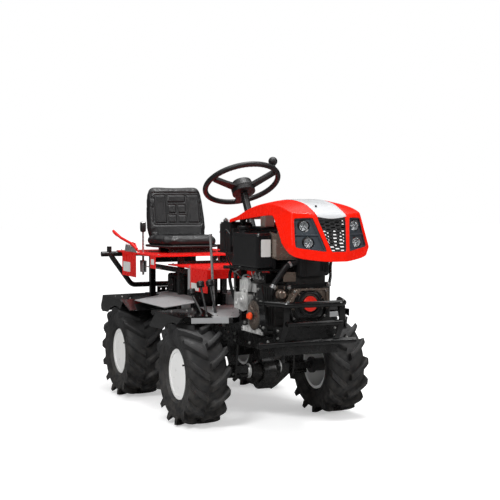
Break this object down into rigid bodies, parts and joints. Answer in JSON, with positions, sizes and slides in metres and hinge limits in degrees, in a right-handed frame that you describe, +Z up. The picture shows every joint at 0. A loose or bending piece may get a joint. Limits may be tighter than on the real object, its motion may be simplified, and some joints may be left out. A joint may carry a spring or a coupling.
{
  "type": "compact tractor",
  "caption": "Compact centre-pivot farm tractor with an open engine under a short nose hood, bar-tread tyres, an upright steering wheel and a single seat over the rear axle.",
  "frame": {"origin": "on the ground at mid-length and mid-width", "axes": "+X forward, +Y to the operator's left, +Z up"},
  "size_m": [2.194, 0.939, 1.2839],
  "materials": {
    "dark_frame_paint": "satin",
    "red_paint": "gloss",
    "bare_steel": "satin",
    "cast_aluminium": "rough cast",
    "black_gloss_paint": "gloss",
    "tank_paint": "satin",
    "black_plastic": "matte",
    "bottle_plastic": "translucent",
    "red_plastic": "gloss",
    "white_plastic": "gloss",
    "bezel_plastic": "satin",
    "lamp_lens": "clear",
    "grey_paint": "satin",
    "soft_black": "soft grained",
    "cast_iron": "painted casting",
    "seat_vinyl": "satin vinyl",
    "tyre_rubber": "matte",
    "rim_paint": "gloss"
  },
  "bodies": {
    "front_half": {"front_axle": "dark_frame_paint", "front_chassis": "dark_frame_paint", "pivot_pin": "bare_steel", "front_tower": "dark_frame_paint", "engine_block": "cast_aluminium", "fan_housing": "black_gloss_paint", "fuel_tank": "tank_paint", "air_filter": "black_plastic", "battery": "black_plastic", "coolant_bottle": "bottle_plastic", "steering_column": "dark_frame_paint", "hood_shell": "red_plastic", "hood_stripe": "white_plastic", "grille": "black_plastic", "lamp_bezels": "bezel_plastic", "headlamps": "lamp_lens", "front_bumper": "black_gloss_paint", "front_footplates": "grey_paint", "front_fenders": "black_gloss_paint", "floor_controls": "black_plastic"},
    "rear_half": {"rear_axle": "dark_frame_paint", "rear_chassis": "dark_frame_paint", "rear_gearbox": "cast_iron", "seat_console": "red_paint", "seat": "seat_vinyl", "front_console": "red_paint", "rear_guard": "dark_frame_paint", "rear_footplates": "grey_paint", "rear_fenders": "black_gloss_paint", "handbrake_lever": "red_paint", "shift_lever": "bare_steel", "hitch_bracket": "dark_frame_paint"},
    "steering": {"steering_wheel": "soft_black"},
    "front_left_wheel": {"front_left_tyre": "tyre_rubber", "front_left_rim": "rim_paint", "front_left_hub": "dark_frame_paint"},
    "front_right_wheel": {"front_right_tyre": "tyre_rubber", "front_right_rim": "rim_paint", "front_right_hub": "dark_frame_paint"},
    "rear_left_wheel": {"rear_left_tyre": "tyre_rubber", "rear_left_rim": "rim_paint", "rear_left_hub": "dark_frame_paint"},
    "rear_right_wheel": {"rear_right_tyre": "tyre_rubber", "rear_right_rim": "rim_paint", "rear_right_hub": "dark_frame_paint"}
  },
  "joints": [
    {"name": "articulation", "type": "hinge", "parent": "front_half", "child": "rear_half", "pos_m": [-0.11, 0, 0.364], "axis": [0, 0, 1], "range_deg": [-30, 30]},
    {"name": "steering_turn", "type": "hinge", "parent": "front_half", "child": "steering", "pos_m": [0.092, 0, 1.15], "axis": [-0.5, 0, 0.866], "range_deg": [-360, 360]},
    {"name": "front_left_roll", "type": "hinge", "parent": "front_half", "child": "front_left_wheel", "pos_m": [0.3285, 0.3675, 0.2415], "axis": [0, 1, 0], "continuous": true},
    {"name": "front_right_roll", "type": "hinge", "parent": "front_half", "child": "front_right_wheel", "pos_m": [0.3285, -0.3675, 0.2415], "axis": [0, 1, 0], "continuous": true},
    {"name": "rear_left_roll", "type": "hinge", "parent": "rear_half", "child": "rear_left_wheel", "pos_m": [-0.5485, 0.3675, 0.2415], "axis": [0, 1, 0], "continuous": true},
    {"name": "rear_right_roll", "type": "hinge", "parent": "rear_half", "child": "rear_right_wheel", "pos_m": [-0.5485, -0.3675, 0.2415], "axis": [0, 1, 0], "continuous": true}
  ],
  "couplings": [
    {"joint": "steering_turn", "follows": "articulation", "ratio": -12}
  ]
}
